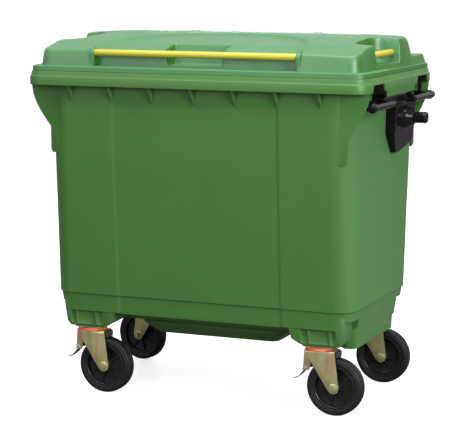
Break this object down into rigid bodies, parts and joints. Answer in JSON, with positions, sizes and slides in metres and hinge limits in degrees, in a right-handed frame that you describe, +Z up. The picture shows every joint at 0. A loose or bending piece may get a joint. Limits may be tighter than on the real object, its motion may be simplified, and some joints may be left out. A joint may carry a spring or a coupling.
{
  "type": "wheeled waste container",
  "caption": "Wheeled moulded waste container with a hinged domed lid, yellow lid grips, side handles, lifting trunnions, swivel casters and foot brakes.",
  "frame": {"origin": "on the floor, below the middle of the rim", "axes": "+X to the container's right-hand side (long way), -Y to the front where the lid opens, +Z up"},
  "size_m": [1.37, 0.772, 1.285],
  "materials": {
    "green_tub": "injection-moulded polyethylene, satin",
    "green_lid": "injection-moulded polyethylene, satin",
    "yellow_grip": "smooth plastic sleeve",
    "black_plastic": "glass-filled moulding, satin",
    "black_wheel_plastic": "moulded wheel centre",
    "black_rubber": "solid rubber",
    "red_plastic": "dust ring",
    "yellow_zinc_steel": "yellow-passivated pressed steel",
    "zinc_steel": "bright zinc",
    "dark_steel": "black-coated pressed steel"
  },
  "bodies": {
    "root": {"tub": "green_tub", "right_hinge_pin": "black_plastic", "right_side_bracket": "black_plastic", "right_trunnion_pin": "black_plastic", "right_bracket_bolts": "zinc_steel", "left_hinge_pin": "black_plastic", "left_side_bracket": "black_plastic", "left_trunnion_pin": "black_plastic", "left_bracket_bolts": "zinc_steel", "front_left_top_plate": "yellow_zinc_steel", "front_left_kingpin": "zinc_steel", "front_right_top_plate": "yellow_zinc_steel", "front_right_kingpin": "zinc_steel", "rear_left_top_plate": "yellow_zinc_steel", "rear_left_kingpin": "zinc_steel", "rear_right_top_plate": "yellow_zinc_steel", "rear_right_kingpin": "zinc_steel", "caster_mount_bolts": "zinc_steel"},
    "lid": {"lid": "green_lid", "lid_front_grip_bar": "yellow_grip", "lid_right_grip_bar": "yellow_grip", "lid_left_grip_bar": "yellow_grip"},
    "front_left_swivel": {"front_left_fork": "yellow_zinc_steel", "front_left_swivel_balls": "zinc_steel", "front_left_swivel_ring": "red_plastic", "front_left_axle": "yellow_zinc_steel", "front_left_wheel_bush": "zinc_steel", "front_left_brake_pivot": "zinc_steel"},
    "front_left_wheel": {"front_left_wheel_centre": "black_wheel_plastic", "front_left_tyre": "black_rubber"},
    "front_left_pedal": {"front_left_brake_pedal": "dark_steel"},
    "front_left_shoe": {"front_left_brake_shoe": "dark_steel"},
    "front_right_swivel": {"front_right_fork": "yellow_zinc_steel", "front_right_swivel_balls": "zinc_steel", "front_right_swivel_ring": "red_plastic", "front_right_axle": "yellow_zinc_steel", "front_right_wheel_bush": "zinc_steel", "front_right_brake_pivot": "zinc_steel"},
    "front_right_wheel": {"front_right_wheel_centre": "black_wheel_plastic", "front_right_tyre": "black_rubber"},
    "front_right_pedal": {"front_right_brake_pedal": "dark_steel"},
    "front_right_shoe": {"front_right_brake_shoe": "dark_steel"},
    "rear_left_swivel": {"rear_left_fork": "yellow_zinc_steel", "rear_left_swivel_balls": "zinc_steel", "rear_left_swivel_ring": "red_plastic", "rear_left_axle": "yellow_zinc_steel", "rear_left_wheel_bush": "zinc_steel"},
    "rear_left_wheel": {"rear_left_wheel_centre": "black_wheel_plastic", "rear_left_tyre": "black_rubber"},
    "rear_right_swivel": {"rear_right_fork": "yellow_zinc_steel", "rear_right_swivel_balls": "zinc_steel", "rear_right_swivel_ring": "red_plastic", "rear_right_axle": "yellow_zinc_steel", "rear_right_wheel_bush": "zinc_steel"},
    "rear_right_wheel": {"rear_right_wheel_centre": "black_wheel_plastic", "rear_right_tyre": "black_rubber"},
    "drain": {"drain_plug": "black_plastic", "drain_seal": "black_rubber"}
  },
  "joints": [
    {"name": "lid_hinge", "type": "hinge", "parent": "root", "child": "lid", "pos_m": [0, 0.372, 1.2], "axis": [-1, 0, 0], "range_deg": [0, 220]},
    {"name": "front_left_swivel_turn", "type": "hinge", "parent": "root", "child": "front_left_swivel", "pos_m": [-0.436, -0.261, 0.23], "axis": [0, 0, 1], "continuous": true},
    {"name": "front_left_wheel_spin", "type": "hinge", "parent": "front_left_swivel", "child": "front_left_wheel", "pos_m": [-0.38, -0.261, 0.1], "axis": [0, 1, 0], "continuous": true},
    {"name": "front_left_pedal_press", "type": "hinge", "parent": "front_left_swivel", "child": "front_left_pedal", "pos_m": [-0.482, -0.261, 0.163], "axis": [0, -1, 0], "range_deg": [0, 20]},
    {"name": "front_left_shoe_drop", "type": "slide", "parent": "front_left_swivel", "child": "front_left_shoe", "axis": [0, 0, -1], "range_m": [0, 0.003]},
    {"name": "front_right_swivel_turn", "type": "hinge", "parent": "root", "child": "front_right_swivel", "pos_m": [0.436, -0.261, 0.23], "axis": [0, 0, 1], "continuous": true},
    {"name": "front_right_wheel_spin", "type": "hinge", "parent": "front_right_swivel", "child": "front_right_wheel", "pos_m": [0.492, -0.261, 0.1], "axis": [0, 1, 0], "continuous": true},
    {"name": "front_right_pedal_press", "type": "hinge", "parent": "front_right_swivel", "child": "front_right_pedal", "pos_m": [0.39, -0.261, 0.163], "axis": [0, -1, 0], "range_deg": [0, 20]},
    {"name": "front_right_shoe_drop", "type": "slide", "parent": "front_right_swivel", "child": "front_right_shoe", "axis": [0, 0, -1], "range_m": [0, 0.003]},
    {"name": "rear_left_swivel_turn", "type": "hinge", "parent": "root", "child": "rear_left_swivel", "pos_m": [-0.436, 0.261, 0.23], "axis": [0, 0, 1], "continuous": true},
    {"name": "rear_left_wheel_spin", "type": "hinge", "parent": "rear_left_swivel", "child": "rear_left_wheel", "pos_m": [-0.49115, 0.27072, 0.1], "axis": [-0.1736, -0.9848, 0], "continuous": true},
    {"name": "rear_right_swivel_turn", "type": "hinge", "parent": "root", "child": "rear_right_swivel", "pos_m": [0.436, 0.261, 0.23], "axis": [0, 0, 1], "continuous": true},
    {"name": "rear_right_wheel_spin", "type": "hinge", "parent": "rear_right_swivel", "child": "rear_right_wheel", "pos_m": [0.492, 0.261, 0.1], "axis": [0, 1, 0], "continuous": true},
    {"name": "drain_plug_out", "type": "slide", "parent": "root", "child": "drain", "axis": [0, 0, -1], "range_m": [0, 0.06]}
  ],
  "couplings": [
    {"joint": "front_left_shoe_drop", "follows": "front_left_pedal_press", "m_per_rad": 0.00859},
    {"joint": "front_right_shoe_drop", "follows": "front_right_pedal_press", "m_per_rad": 0.00859}
  ]
}
